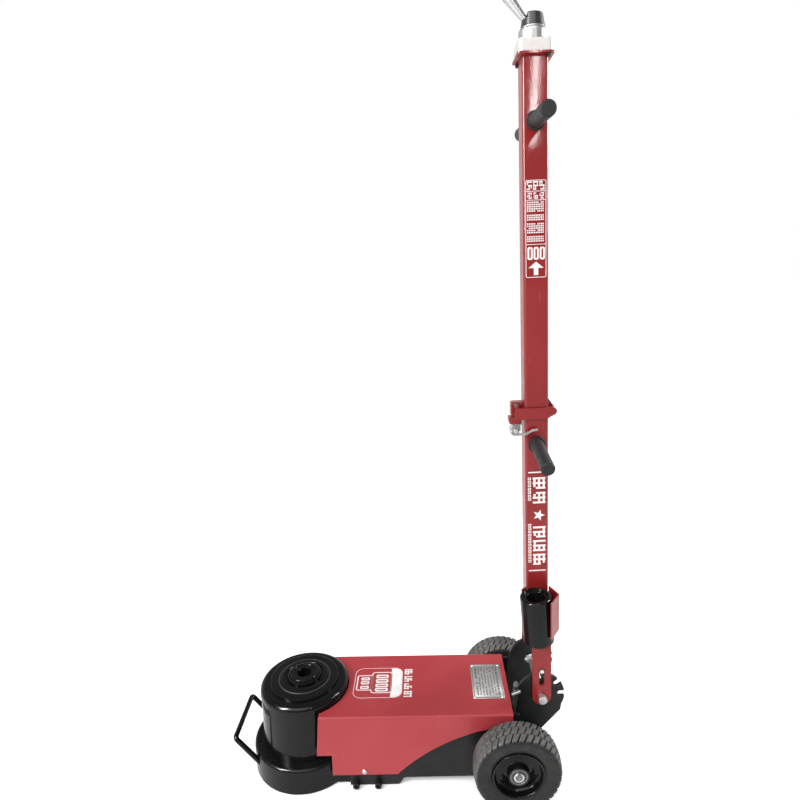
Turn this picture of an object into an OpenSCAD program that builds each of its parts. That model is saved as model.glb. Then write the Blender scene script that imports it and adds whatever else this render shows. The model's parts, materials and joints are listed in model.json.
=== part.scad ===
// Two-stage air-hydraulic trolley jack: a low ram unit on two wheels, pushed and steered by a
// folding upright handle with the air valve at its top.
// Frame: origin on the floor under the ram's axis, +X towards the wheels, +Z up, -Y the near side.

/* [Ram unit] */
// Outer radius of the oil tank
tank_r = 106; // [104:1:107]
// Height of the tank's rim above the floor
tank_top = 216; // [214:1:218]
// Outer radius of the round foot
foot_r = 128; // [126:1:130]
// Height of the foot
foot_h = 68; // [66:1:70]
// Outer radius of the first (outer) ram
outer_ram_r = 58; // [56:1:58]
// Outer radius of the second (inner) ram
inner_ram_r = 40; // [38:1:42]
// Radius of the socket in the top of the inner ram
socket_r = 17; // [15:0.5:18]

/* [Hood] */
// Half width of the sheet hood
hood_half_w = 110; // [110:0.5:111]
// Height of the hood's top face
hood_top = 195.4; // [194:0.2:198]
// Rear end of the hood
hood_end = 500.6; // [496:0.2:502]
// Sheet thickness of the hood
hood_t = 2; // [1.5:0.25:2.5]

/* [Wheels] */
// Radius of the tyres
tyre_r = 100; // [99:0.5:101]
// Width of the tyres
tyre_w = 63; // [60:1:64]
// Distance of each wheel's middle plane from the centre line
wheel_y = 157; // [156:1:160]
// Position of the axle behind the ram
axle_x = 504; // [502:1:506]
// Radius of the axle's journals
journal_r = 8.5; // [8.5:0.5:8.5]

/* [Handle] */
// Side of the square handle tube
tube_w = 52; // [51:1:52]
// Wall of the handle tube
tube_wall = 2.5; // [2:0.5:3]
// Forward lean of the upright handle, degrees
handle_lean = 2.2; // [1.5:0.1:3]
// Height along the handle at which it folds
fold_s = 690; // [690:1:692]
// Top end of the upper tube along the handle
tube_top = 1386; // [1380:1:1400]
// Length of each side grip
grip_len = 124; // [110:1:126]
// Radius of each rubber grip
grip_r = 15; // [14:0.5:16]

/* [Hidden] */
$fn = 64;

gap = 0.5;              // working gap between neighbours that move past each other
fit = 0.05;             // radial clearance of a running fit

// Ram unit
well_r = 76;            // outside of the main cylinder
well_floor = 22;        // floor of the well in the foot
head_r = 82;            // head nut
head_top = 222;
outer_top = 226;
inner_top = 231;
saddle_top = 234;
saddle_r = 34;
socket_depth = 26;
bail_r = 6;             // carrying bail: its bar, where its legs meet the foot, and its bends
bail_half = 71;
bail_bend = 8;
bail_bar = [-157, 110];
bail_foot = [-107, 46];
bail_leg = norm(bail_foot - bail_bar) + 12;
block_x0 = 118;         // pump block behind the foot
block_x1 = 236;
block_half_w = 98;
block_h = 70;
tower_x0 = 168;         // raised part of the block that holds the plunger
gallery_z = 38;         // oil way from the block into the ram's cylinder
plug_at = [190, 80];
filler_z = 150;         // filler in the tank's rear wall, under the hood
filler_r = 6;

// Frame
plate_in = 98;          // inner face of the frame plates
plate_out = 104;
frame_end = 516;
frame_low = 22;
frame_top = 190;
shoe_low = 3;           // the frame plates' deep front part
shoe_end = 229;
bolt_x = [133, 185];    // bolts through the frame plates into the pump block
bolt_z = 11;
axle_z = tyre_r;
axle_bar_r = 12.5;      // the axle between the wheels
pan_x0 = block_x1 + 5;
hood_fixing = [153, 45.5];
bulkhead_x = 466;
plate_mid = [451, 4];   // data plate on the hood
plate_size = [76, 122];
plate_t = 0.8;
quad_in = 62;           // inner face of the quadrants
quad_out = 70;

// Handle: its pivot, its direction and where things sit along it (s) and across it (n)
pivot_x = 572;
pivot_z = 216;
pin_r = 10;
pin_end = 92;
clip_y = 58;            // circlips on the pin, inside the quadrants
quad_r = 55;            // rim of the notched part of the quadrants
quad_crown_r = 58;      // rim of the rest
notch_angles = [90 + handle_lean, 40, 3];
notch_floor = 38;
notch_w = 15;
strap_in = 71;
strap_out = 78;
strap_half_w = 22;
tube_corner = 6;        // outer corner radius of the square tubes
slot_s = [30, 76];
slot_r = 6;
doubler_t = 4;
bar_r = 5;
bar_s = 69;
lug_y = -32;
step_s = 140;           // top face of the yoke's cross plate
step_t = 10;
holder_s = [165, 257];
holder_t = 3;
holder_wing = [-37, -35];
holder_corner = [40.5, -60.5];
holder_lip = [15.5, -98.5];
adapter_r = 36;
adapter_h = 115;
adapter_lean = 3.5;     // the adapter stands a little askew in its holder
adapter_n = -4;
adapter_y = -62.5;
adapter_s = step_s + 1.3;
fold_n = 35;            // hinge axis behind the tube
fold_pin_s = fold_s - 9;
fold_r = 8.5;
fold_pin_r = 4;
knuckle_y = 13;
collar_t = 5;           // lower collar: its sheet, its lower edge and how far its cheeks reach forward
collar_low = 664;
cheek_end = 48;
lug_low = 650;          // the latch's lug, and the loop above it with its window
lug_top = 666;
keeper_n = -47;
loop_top = fold_s + 10;
latch_n = -44;
latch_s = 634;
latch_r = 12.5;         // outside of the latch's curved strap
grip_s = [609, 1270];   // the two pairs of side grips, and how far each is off level in degrees
grip_tilt = [7, 3];
grip_collar_r = 19;
stub_r = 8;

// Valve at the top of the handle
top_plate_t = 4;
top_plate = [72, 74];
block_size = [66, 70];
block_t = 23;
valve_s = tube_top + top_plate_t;
valve_bolt_at = [25, 30.7];
valve_bolt_r = 2.5;
bowl_r = 28;
bowl_h = 27;
cap_r = 23.7;
cap_s = valve_s + block_t + bowl_h + 0.3;
cap_t = 24;
lever_rise = 51;        // slope of the valve lever
lever_len = 112;
lever_root = [-17, 16]; // middle of the lever's rounded root, from the cap's axis and underside
lever_root_r = 6.5;
inlet_s = 1344;

// Air hose beside the near quadrant
hose_r = 5;
hose_route = [[452, -80, 130], [476, -80, 130], [488, -80, 134], [497, -79, 145], [503, -77.5, 165],
  [507, -76, 190], [510, -75.5, 215], [510, -75.5, 246]];
clamp_at = [510, -75.5, 233];

// Air motor under the hood
motor_x = [262, 440];
motor_z = 95;
motor_r = 55;
motor_bore = 52;
cap_half = 60;
plunger_r = 9;
plunger_end = 224;      // front end of the plunger at rest
piston_x = 408;
tie_x0 = block_x1 - 16;

// The points of a circular arc in a plane, anticlockwise from a0 to a1 degrees
function arc(c, r, a0, a1, n = 12) =
  [for (i = [0 : n]) c + r * [cos(a0 + (a1 - a0) * i / n), sin(a0 + (a1 - a0) * i / n)]];

// Centre of the circle through three points
function circumcentre(a, b, c) =
  let (d = 2 * (a.x * (b.y - c.y) + b.x * (c.y - a.y) + c.x * (a.y - b.y)))
  [((a * a) * (b.y - c.y) + (b * b) * (c.y - a.y) + (c * c) * (a.y - b.y)) / d,
   ((a * a) * (c.x - b.x) + (b * b) * (a.x - c.x) + (c * c) * (b.x - a.x)) / d];

// Puts a shape drawn in X and Z on the plane at y, going t further along +Y
module upright(y, t) translate([0, y + t, 0]) rotate([90, 0, 0]) linear_extrude(t) children();

// Draws both a child and its mirror image across the centre line
module both_sides() { children(); mirror([0, 1, 0]) children(); }

// A cylinder along Y from y0 to y1
module rod_y(x, z, r, y0, y1) translate([x, y0, z]) rotate([-90, 0, 0]) cylinder(h = y1 - y0, r = r);

// A cylinder along X from x0 to x1
module rod_x(y, z, r, x0, x1) translate([x0, y, z]) rotate([0, 90, 0]) cylinder(h = x1 - x0, r = r);

// Places what is drawn along +Z onto the handle, with the pivot at the origin
module on_handle() translate([pivot_x, 0, pivot_z]) rotate([0, -handle_lean, 0]) children();

// A hexagon head or nut standing on +Z
module hex_head(across, h) cylinder(h = h, r = across / sqrt(3), $fn = 6);

// ---- Ram unit ----

module foot_casting() color("#1b1c1d") difference() {
  round_top = 8;
  rotate_extrude($fn = 128) polygon(concat(
    [[0, 0], [foot_r - 3, 0], [foot_r, 3]],
    arc([foot_r - round_top, foot_h - round_top], round_top, 0, 90, 8),
    [[0, foot_h]]));
  translate([0, 0, well_floor]) cylinder(h = foot_h, r = well_r, $fn = 96);
  // oil gallery from the pump block into the well
  rod_x(0, gallery_z, 5, well_r - 5, foot_r + 1);
  both_sides() bail_place() translate([0, bail_half, -bail_leg]) cylinder(h = 40, r = bail_r);
}

// Block between the foot and the air motor, with the plunger's bore
module pump_block() color("#202122") difference() {
  union() {
    translate([60, -block_half_w, 6]) cube([block_x1 - 60, 2 * block_half_w, block_h - 6]);
    translate([tower_x0, -cap_half, block_h - 1])
      cube([block_x1 - tower_x0, 2 * cap_half, motor_z + cap_half - block_h + 1]);
  }
  cylinder(h = 400, r = foot_r, center = true, $fn = 128);
  rod_x(0, motor_z, plunger_r + fit, tower_x0 + 2, block_x1 + 1);
  rod_x(0, gallery_z, 5, foot_r - 2, tower_x0 + 10);
  translate([tower_x0 + 6, 0, gallery_z]) cylinder(h = motor_z - gallery_z, r = 4);
  for (x = bolt_x) both_sides() rod_y(x, bolt_z, 4, block_half_w - 20, block_half_w + 1);
  both_sides() translate([plug_at.x, plug_at.y, block_h - 20]) cylinder(h = 30, r = 9);
  tie_rod_places() rod_x(0, 0, 4, tie_x0, block_x1 + 1);
}

module main_cylinder() color("#3a3b3d") difference() {
  translate([0, 0, well_floor]) cylinder(h = head_top - 12 - well_floor, r = well_r, $fn = 96);
  translate([0, 0, well_floor + 12]) cylinder(h = 300, r = outer_ram_r + 6, $fn = 96);
  rod_x(0, gallery_z, 5, outer_ram_r, well_r + 1);
}

module oil_tank() color("#17181a") difference() {
  wall = 5;
  lid_round = 12;
  lid_low = tank_top - 20;
  rotate_extrude($fn = 128) polygon(concat(
    [[tank_r - wall, foot_h], [tank_r - 1, foot_h], [tank_r - 1, lid_low - 1], [tank_r, lid_low]],
    arc([tank_r - lid_round, tank_top - lid_round], lid_round, 0, 90, 10),
    [[head_r, tank_top], [head_r, tank_top - 10], [tank_r - wall, tank_top - 10]]));
  rod_x(0, filler_z, filler_r, tank_r - 10, tank_r + 1);
}

module head_nut() color("#202123") difference() {
  union() {
    translate([0, 0, head_top - 12]) cylinder(h = 7, r = head_r, $fn = 96);
    rotate_extrude($fn = 96) polygon([
      [0, head_top - 5], [head_r, head_top - 5], [head_r, head_top - 1.5],
      [head_r - 1.5, head_top], [0, head_top]]);
  }
  translate([0, 0, head_top - 40]) cylinder(h = 80, r = outer_ram_r + fit, $fn = 96);
  translate([0, 0, head_top - 4]) cylinder(h = 10, r = outer_ram_r + 5, $fn = 96);
}

// Wiper round the outer ram, and the seal under the tank
module ram_seals() color("#101010") {
  rotate_extrude($fn = 96) polygon([
    [outer_ram_r + fit, head_top - 4], [outer_ram_r + 5, head_top - 4],
    [outer_ram_r + 5, head_top], [outer_ram_r + 2, head_top + 1.5], [outer_ram_r + fit, head_top]]);
  translate([0, 0, foot_h]) difference() {
    cylinder(h = 3, r = tank_r - 5, $fn = 96);
    translate([0, 0, -1]) cylinder(h = 5, r = well_r, $fn = 96);
  }
}

module outer_ram() color("#2b2c2f") difference() {
  ram_wall = 6;
  union() {
    rotate_extrude($fn = 96) polygon([
      [0, 36], [outer_ram_r + 3, 36], [outer_ram_r + 3, 44], [outer_ram_r, 44],
      [outer_ram_r, outer_top - 2], [outer_ram_r - 2, outer_top], [0, outer_top]]);
    rotate_extrude($fn = 96) polygon([
      [0, 60], [outer_ram_r + 5.9, 60], [outer_ram_r + 5.9, 74], [0, 74]]);
  }
  // bore of the inner ram, wider below its guide
  translate([0, 0, outer_top - 20]) cylinder(h = 40, r = inner_ram_r + fit, $fn = 96);
  translate([0, 0, 50]) cylinder(h = outer_top - 70, r = outer_ram_r - ram_wall, $fn = 96);
  translate([0, 0, outer_top - 3]) cylinder(h = 10, r = inner_ram_r + 6, $fn = 96);
  translate([0, 0, 30]) cylinder(h = 40, r = 12);
}

module outer_ram_packing() color("#4a3a20") translate([0, 0, 48]) difference() {
  cylinder(h = 8, r = outer_ram_r + 5.9, $fn = 96);
  translate([0, 0, -1]) cylinder(h = 10, r = outer_ram_r, $fn = 96);
}

module inner_ram() color("#303134") difference() {
  rotate_extrude($fn = 96) polygon([
    [0, 54], [inner_ram_r + 11.8, 54], [inner_ram_r + 11.8, 68], [inner_ram_r, 68],
    [inner_ram_r, inner_top - 2], [inner_ram_r - 2, inner_top], [0, inner_top]]);
  translate([0, 0, 50]) cylinder(h = 120, r = inner_ram_r - 14);
  translate([0, 0, inner_top - socket_depth]) cylinder(h = 60, r = 24);
}

module inner_ram_packing() color("#4a3a20") translate([0, 0, 72]) difference() {
  cylinder(h = 7, r = inner_ram_r + 11.8, $fn = 96);
  translate([0, 0, -1]) cylinder(h = 9, r = inner_ram_r, $fn = 96);
}

module ram_saddle() color("#26272a") difference() {
  union() {
    translate([0, 0, inner_top - socket_depth]) cylinder(h = socket_depth, r = 24);
    rotate_extrude($fn = 96) polygon([
      [0, inner_top], [saddle_r, inner_top], [saddle_r - 1.5, saddle_top], [0, saddle_top]]);
  }
  translate([0, 0, inner_top - socket_depth + 3]) cylinder(h = 60, r = socket_r);
  // turned step round the socket
  translate([0, 0, saddle_top - 1.5]) cylinder(h = 10, r = saddle_r - 7);
}

// Bent rod: a bar along Y and two legs that slope down into the foot
module front_bail() color("#141414") bail_place() {
  straight = bail_half - bail_bend;
  rotate([90, 0, 0]) cylinder(h = 2 * straight, r = bail_r, center = true);
  both_sides() {
    translate([0, straight, -bail_bend]) rotate([90, 0, 90])
      rotate_extrude(angle = 90) translate([bail_bend, 0]) circle(r = bail_r, $fn = 32);
    translate([0, bail_half, -bail_leg]) cylinder(h = bail_leg - bail_bend, r = bail_r);
  }
}

// Puts the middle of the bail's bar at the origin, with the legs running down -Z
module bail_place() translate([bail_bar.x, 0, bail_bar.y])
  rotate([0, -atan2(bail_foot.x - bail_bar.x, bail_bar.y - bail_foot.y), 0]) children();

// Two valve plugs in the pump block and the filler plug in the tank's wall
module oil_plugs() color("#8f9296") {
  both_sides() translate([plug_at.x, plug_at.y, block_h - 20]) {
    cylinder(h = 20, r = 9);
    translate([0, 0, 20]) hex_head(24, 8);
  }
  rod_x(0, filler_z, filler_r, tank_r - 5, tank_r + 1);
  translate([tank_r + 1, 0, filler_z]) rotate([0, 90, 0]) hex_head(17, 6);
}

// ---- Frame and hood ----

module frame_outline() {
  difference() {
    polygon(concat(
      [[block_x0, shoe_low]],
      arc([shoe_end, shoe_low + 10], 10, -90, -45, 4),
      arc([251, frame_low - 10], 10, 135, 90, 4),
      [[frame_end, frame_low], [frame_end, frame_top], [block_x0, frame_top]]));
    translate([axle_x, axle_z]) circle(r = axle_bar_r + fit);
    for (x = bolt_x) translate([x, bolt_z]) circle(r = 4);
    translate(hood_fixing) circle(r = 3);
  }
}

// Side plates, each with the boss that the hood is screwed to
module frame_plates() color("#1a1b1c") both_sides() {
  upright(plate_in, plate_out - plate_in) frame_outline();
  difference() {
    rod_y(hood_fixing.x, hood_fixing.y, 8, plate_out, hood_half_w - hood_t);
    rod_y(hood_fixing.x, hood_fixing.y, 3, plate_out - 1, hood_half_w);
  }
}

// Cap screws through the frame plates into the pump block
module frame_bolts() color("#141414") both_sides() for (x = bolt_x) difference() {
  union() {
    rod_y(x, bolt_z, 4, block_half_w - 20, plate_out + 1);
    rod_y(x, bolt_z, 8, plate_out, plate_out + 14);
  }
  translate([x, plate_out + 8, bolt_z]) rotate([-90, 0, 0]) hex_head(8, 7);
}

// Pan between the side plates, with the upright bulkhead that the air line passes through
module floor_pan() color("#1d1e1f") difference() {
  union() {
    translate([pan_x0, -plate_in, frame_low + 2]) cube([frame_end - pan_x0, 2 * plate_in, 4]);
    translate([bulkhead_x, -plate_in, frame_low + 6]) cube([6, 2 * plate_in, 134]);
  }
  rod_x(hose_route[0].y, hose_route[0].z, hose_r, bulkhead_x - 1, bulkhead_x + 7);
}

module quadrant_outline() difference() {
  polygon(concat(
    [[472, 60], [524, 60], [619, 174]],
    arc([pivot_x, pivot_z], quad_r, -28, 100, 24),
    arc([pivot_x, pivot_z], quad_crown_r, 104, 182, 14),
    [[508, 172], [472, 150]]));
  for (a = notch_angles) translate([pivot_x, pivot_z]) rotate(a) {
    translate([notch_floor + notch_w / 2, -notch_w / 2]) square([40, notch_w]);
    translate([notch_floor + notch_w / 2, 0]) circle(r = notch_w / 2);
  }
  translate([pivot_x, pivot_z]) circle(r = pin_r + fit);
  translate([axle_x, axle_z]) circle(r = axle_bar_r + fit);
}

module quadrants() color("#151617") both_sides() upright(quad_in, quad_out - quad_in) quadrant_outline();

// Side of the hood: straight front with a step over the foot, swept up behind over the wheels
module hood_side() {
  a = [231, 37];
  b = [335, 116];
  c = [hood_end, 166.5];
  m = circumcentre(a, b, c);
  r = norm(a - m);
  a0 = atan2(a.y - m.y, a.x - m.x);
  c0 = atan2(c.y - m.y, c.x - m.x);
  polygon(concat(
    [[43, 92], [78, 92], [78, 37]], arc(m, r, a0, c0, 24),
    [[hood_end, hood_top + 5], [50.3, hood_top + 5]]));
}

module hood() color("#b01c22") difference() {
  bend = 5;
  intersection() {
    difference() {
      hood_profile(0, bend);
      hood_profile(hood_t, bend);
    }
    upright(-200, 400) hood_side();
  }
  cylinder(h = 500, r = tank_r + 1.5, $fn = 128);
  both_sides() rod_y(hood_fixing.x, hood_fixing.y, 3, 100, 120);
}

module hood_profile(inset, bend) {
  w = hood_half_w - inset;
  top = hood_top - inset;
  translate([-10 - inset, 0, 0]) rotate([90, 0, 90]) linear_extrude(620) polygon(concat(
    [[-w, -5]], [[w, -5]],
    arc([w - bend + inset, top - bend + inset], bend - inset, 0, 90, 6),
    arc([-w + bend - inset, top - bend + inset], bend - inset, 90, 180, 6)));
}

// Cross-slotted pan screws that hold the hood to the frame plates
module hood_screws() color("#b9bcc0") both_sides() {
  rod_y(hood_fixing.x, hood_fixing.y, 3, plate_in, hood_half_w);
  translate([hood_fixing.x, hood_half_w, hood_fixing.y]) rotate([-90, 0, 0]) difference() {
    rotate_extrude() polygon([[0, 0], [6, 0], [6, 1.2], [4.8, 2.6], [2.8, 3.4], [0, 3.6]]);
    translate([0, 0, 3.6]) cube([1.2, 7, 3], center = true);
    translate([0, 0, 3.6]) cube([7, 1.2, 3], center = true);
  }
}

module data_plate() color("#c9cbcc") difference() {
  translate([plate_mid.x - plate_size.x / 2, plate_mid.y - plate_size.y / 2, hood_top])
    cube([plate_size.x, plate_size.y, plate_t]);
  plate_corners() cylinder(h = 4, r = 1.5, center = true, $fn = 24);
}

module plate_corners() for (i = [-1, 1], j = [-1, 1])
  translate([plate_mid.x + i * (plate_size.x / 2 - 5), plate_mid.y + j * (plate_size.y / 2 - 5),
    hood_top]) children();

module data_plate_rivets() color("#8b8d90") plate_corners() union() {
  cylinder(h = plate_t, r = 1.5, $fn = 24);
  translate([0, 0, plate_t]) cylinder(h = 1, r1 = 2.8, r2 = 1.6, $fn = 24);
}

// ---- Running gear ----

module axle() color("#77797c") difference() {
  end_y = wheel_y + 32.5;
  union() {
    rod_y(axle_x, axle_z, axle_bar_r, -126.4, 126.4);
    rod_y(axle_x, axle_z, journal_r, -end_y, end_y);
  }
  // circlip grooves and centre drillings
  both_sides() {
    difference() {
      rod_y(axle_x, axle_z, journal_r + 1, wheel_y + 30.4, wheel_y + 31.6);
      rod_y(axle_x, axle_z, journal_r - 1, wheel_y + 30, wheel_y + 32);
    }
    translate([axle_x, end_y - 3, axle_z]) rotate([-90, 0, 0]) cylinder(h = 4, r1 = 0.5, r2 = 3.5);
  }
}

module axle_circlips() color("#a3a5a8") both_sides() difference() {
  rod_y(axle_x, axle_z, journal_r + 3, wheel_y + 30.4, wheel_y + 31.6);
  rod_y(axle_x, axle_z, journal_r - 1, wheel_y + 30, wheel_y + 32);
  translate([axle_x, wheel_y + 31, axle_z + 8]) cube([6, 4, 10], center = true);
}

// A turned shape round the wheel's axis; the profile gives radius and distance from the middle plane
module wheel_turned(side, points) translate([axle_x, side * wheel_y, axle_z]) rotate([90, 0, 0])
  rotate_extrude($fn = 96) polygon(points);

function tyre_profile() =
  let (h = tyre_w / 2, groove = 3.5)
  concat(
    [[57, -h + 8.5]],
    arc([66, -h + 8], 8, 225, 270, 4),
    arc([84, -h + 16], 16, -90, -12, 8),
    [[tyre_r - 0.4, -16]],
    [[tyre_r - groove, -15], [tyre_r - groove, -12], [tyre_r - 0.1, -11]],
    [[tyre_r, -2], [tyre_r - groove, -1.5], [tyre_r - groove, 1.5], [tyre_r, 2]],
    [[tyre_r - 0.1, 11], [tyre_r - groove, 12], [tyre_r - groove, 15]],
    [[tyre_r - 0.4, 16]],
    arc([84, h - 16], 16, 12, 90, 8),
    arc([66, h - 8], 8, 90, 135, 4),
    [[57, h - 8.5]]);

module tyre_near() color("#2a2a2a") wheel_turned(-1, tyre_profile());
module tyre_far() color("#2a2a2a") wheel_turned(1, tyre_profile());

// Pressed rim: rolled lips, bead seats, dished disc and the bearing hub
function rim_profile() = [
  [57, -25], [57, 25], [59, 27], [60, 29], [58, 30], [55, 28.5], [54, 25], [54, 14], [50, 10],
  [40, 9], [32, 12], [25, 14], [24, 30], [20, 30], [20, 18], [17.5, 18], [17.5, -18], [20, -18], [20, -30],
  [24, -30], [25, -14], [25, 6], [32, 4], [40, 1], [50, 2], [54, -8], [54, -25], [55, -28.5],
  [58, -30], [60, -29], [59, -27]];

module rim_near() color("#1a1a1b") wheel_turned(-1, rim_profile());
module rim_far() color("#1a1a1b") wheel_turned(1, [for (p = rim_profile()) [p.x, -p.y]]);

// Sealed bearings at both ends of the hub
module bearing_pair(side) for (end = [-1, 1]) wheel_turned(side, [
  [journal_r + fit, end * 18], [20, end * 18], [20, end * 30], [17, end * 30], [16.6, end * 29],
  [12.4, end * 29], [12, end * 30], [journal_r + fit, end * 30]]);

module bearings_near() color("#b5b7ba") bearing_pair(-1);
module bearings_far() color("#b5b7ba") bearing_pair(1);

// ---- Air motor and pump ----

module air_cylinder() color("#9ea1a5") difference() {
  rod_x(0, motor_z, motor_r, motor_x[0], motor_x[1]);
  rod_x(0, motor_z, motor_bore, motor_x[0] - 1, motor_x[1] + 1);
}

module air_cylinder_caps() color("#b4b6b9") difference() {
  for (x = [motor_x[0] - 12, motor_x[1]])
    translate([x, -cap_half, motor_z - cap_half]) cube([12, 2 * cap_half, 2 * cap_half]);
  rod_x(0, motor_z, plunger_r + fit, motor_x[0] - 20, motor_x[0] + 1);
  tie_rod_places() rod_x(0, 0, 4, 200, 480);
}

module tie_rod_places() for (i = [-1, 1], j = [-1, 1])
  translate([0, i * (cap_half - 11), motor_z + j * (cap_half - 11)]) children();

module tie_rods() color("#7d8084") tie_rod_places() {
  rod_x(0, 0, 4, tie_x0, motor_x[1] + 12);
  translate([motor_x[1] + 12, 0, 0]) rotate([0, 90, 0]) hex_head(13, 6);
}

module air_piston() color("#aeb0b3") {
  rod_x(0, motor_z, motor_bore - 0.1, piston_x, piston_x + 18);
  rod_x(0, motor_z, plunger_r, plunger_end, piston_x);
}

// Coil spring round the plunger, pushing the piston back after each stroke
module piston_spring() color("#8c8f93") {
  coil_r = 24;
  wire_r = 2.6;
  turns = 8;
  steps = 14;
  sides = 8;
  x0 = motor_x[0] + wire_r + 0.2;
  length = piston_x - x0 - wire_r - 0.2;
  count = turns * steps;
  points = [for (i = [0 : count], k = [0 : sides - 1])
    let (a = 360 * i / steps, b = 360 * k / sides, r = coil_r + wire_r * cos(b))
    [x0 + length * i / count + wire_r * sin(b), r * cos(a), motor_z + r * sin(a)]];
  ring = function (i) [for (k = [0 : sides - 1]) i * sides + k];
  quads = [for (i = [0 : count - 1], k = [0 : sides - 1])
    let (n = (k + 1) % sides)
    [i * sides + k, (i + 1) * sides + k, (i + 1) * sides + n, i * sides + n]];
  polyhedron(points, concat([ring(0)], quads, [[for (k = [sides - 1 : -1 : 0]) count * sides + k]]));
}

// Air line: out through the bulkhead and up the outside of the near quadrant
module air_hose() color("#1c1c1c") for (i = [0 : len(hose_route) - 2]) {
  a = hose_route[i];
  d = hose_route[i + 1] - a;
  translate(a) rotate([0, acos(d.z / norm(d)), atan2(d.y, d.x)]) cylinder(h = norm(d), r = hose_r, $fn = 24);
  if (i > 0) translate(a) sphere(r = hose_r, $fn = 24);
}

// Worm-drive clamp at the hose's upper end, and the barbed fitting that closes it
module hose_clamp() color("#a9abad") {
  translate(clamp_at) {
    difference() {
      cylinder(h = 9, r = hose_r + 1.2, center = true);
      cylinder(h = 12, r = hose_r + 0.1, center = true);
    }
    translate([0, -hose_r - 4, 0]) rotate([0, 65, 0]) cylinder(h = 22, r = 3.8, center = true);
    translate([0, -hose_r - 1.7, 0]) cube([10, 2.6, 9], center = true);
  }
  translate(hose_route[len(hose_route) - 1]) {
    hex_head(12, 4);
    cylinder(h = 8, r = 4.5);
  }
}

// ---- Handle ----

// The slotted strap's outline, in n and s
module strap_outline() difference() {
  union() {
    circle(r = strap_half_w);
    translate([-strap_half_w, 0]) square([2 * strap_half_w, step_s]);
  }
  circle(r = pin_r);
  translate([-slot_r, slot_s[0] + slot_r]) square([2 * slot_r, slot_s[1] - slot_s[0] - 2 * slot_r]);
  for (s = [slot_s[0] + slot_r, slot_s[1] - slot_r]) translate([0, s]) circle(r = slot_r);
}

module yoke() color("#b3212a") on_handle() {
  both_sides() upright(strap_in, strap_out - strap_in) strap_outline();
  translate([-strap_half_w, -strap_in, step_s - step_t]) cube([2 * strap_half_w, 2 * strap_in, step_t]);
  // doubler with a rounded lower edge on the outside of each strap, under the step
  both_sides() upright(strap_out, doubler_t) {
    translate([1 - strap_half_w, step_s - 12]) square([2 * strap_half_w - 2, 12]);
    translate([0, step_s - 12]) intersection() {
      scale([1, 0.75]) circle(r = strap_half_w - 1);
      translate([-50, -50]) square([100, 50]);
    }
  }
}

// Pin that the handle tilts on, with a groove for a circlip inside each quadrant
module pivot_pin() color("#c4c6c8") difference() {
  rod_y(pivot_x, pivot_z, pin_r, -pin_end, pin_end);
  both_sides() difference() {
    rod_y(pivot_x, pivot_z, pin_r + 1, clip_y, clip_y + 1.5);
    rod_y(pivot_x, pivot_z, pin_r - 1.5, clip_y - 1, clip_y + 2.5);
  }
}

module pin_circlips() color("#8c8f93") both_sides() difference() {
  rod_y(pivot_x, pivot_z, pin_r + 4, clip_y, clip_y + 1.5);
  rod_y(pivot_x, pivot_z, pin_r - 1.5, clip_y - 1, clip_y + 2.5);
  translate([pivot_x, clip_y + 0.75, pivot_z - 10]) cube([8, 4, 12], center = true);
}

module lock_bar() color("#c8cacc") on_handle() rod_y(0, bar_s, bar_r, -strap_out - 3, strap_out + 3);

// Collar, stud and nut on the lock bar, pulled by the release
module release_lug() color("#b8babd") on_handle() translate([0, lug_y, bar_s]) {
  difference() {
    rod_y(0, 0, 9, -8, 8);
    rod_y(0, 0, bar_r, -9, 9);
  }
  rotate([0, -90, 0]) difference() {
    union() {
      translate([0, 0, 8]) cylinder(h = 24, r = 4);
      translate([0, 0, 20]) hex_head(15, 8);
    }
    rotate([90, 0, 0]) cylinder(h = 20, r = 8.9, center = true);
  }
}

// Sheet of thickness t on the left of the straight line from a to b
module sheet_leg(a, b, t) {
  d = (b - a) / norm(b - a);
  q = [-d.y, d.x] * t;
  polygon([a, b, b + q, a + q]);
}

// Sheet of thickness t on the left of the path from a to c, bent at b
module bent_sheet(a, b, c, t) {
  d1 = (b - a) / norm(b - a);
  d2 = (c - b) / norm(c - b);
  q1 = [-d1.y, d1.x] * t;
  q2 = [-d2.y, d2.x] * t;
  polygon([a, b, c, c + q2, b + (q1 + q2) / (1 + q1 * q2 / (t * t)), a + q1]);
}

// Bent sheet welded to the tube: a wing in front and a two-leg cradle behind the adapter
module adapter_holder() color("#b3212a") on_handle() {
  half = tube_w / 2;
  translate([0, 0, step_s]) linear_extrude(holder_s[1] - step_s)
    sheet_leg([-half, -half], holder_wing, -holder_t);
  translate([0, 0, holder_s[0]]) linear_extrude(holder_s[1] - holder_s[0])
    bent_sheet([half, -half], holder_corner, holder_lip, holder_t);
}

module extension_adapter() color("#161718") adapter_place() difference() {
  rotate_extrude($fn = 96) polygon([
    [0, 0], [adapter_r - 3, 0], [adapter_r, 3], [adapter_r, adapter_h - 2],
    [adapter_r - 2, adapter_h], [0, adapter_h]]);
  translate([0, 0, adapter_h - 4]) cylinder(h = 10, r = adapter_r - 7);
  translate([0, 0, adapter_h - 34]) cylinder(h = 60, r = socket_r + 4);
}

// The adapter stands on the yoke's step, leaning a little in its holder
module adapter_place() on_handle() translate([adapter_n, adapter_y, adapter_s])
  rotate([0, -adapter_lean, 0]) children();

// A square centred on the origin with rounded corners
module rounded_square(size, r) {
  square([size.x - 2 * r, size.y], center = true);
  square([size.x, size.y - 2 * r], center = true);
  for (i = [-1, 1], j = [-1, 1])
    translate([i * (size.x / 2 - r), j * (size.y / 2 - r)]) circle(r = r, $fn = 24);
}

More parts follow.
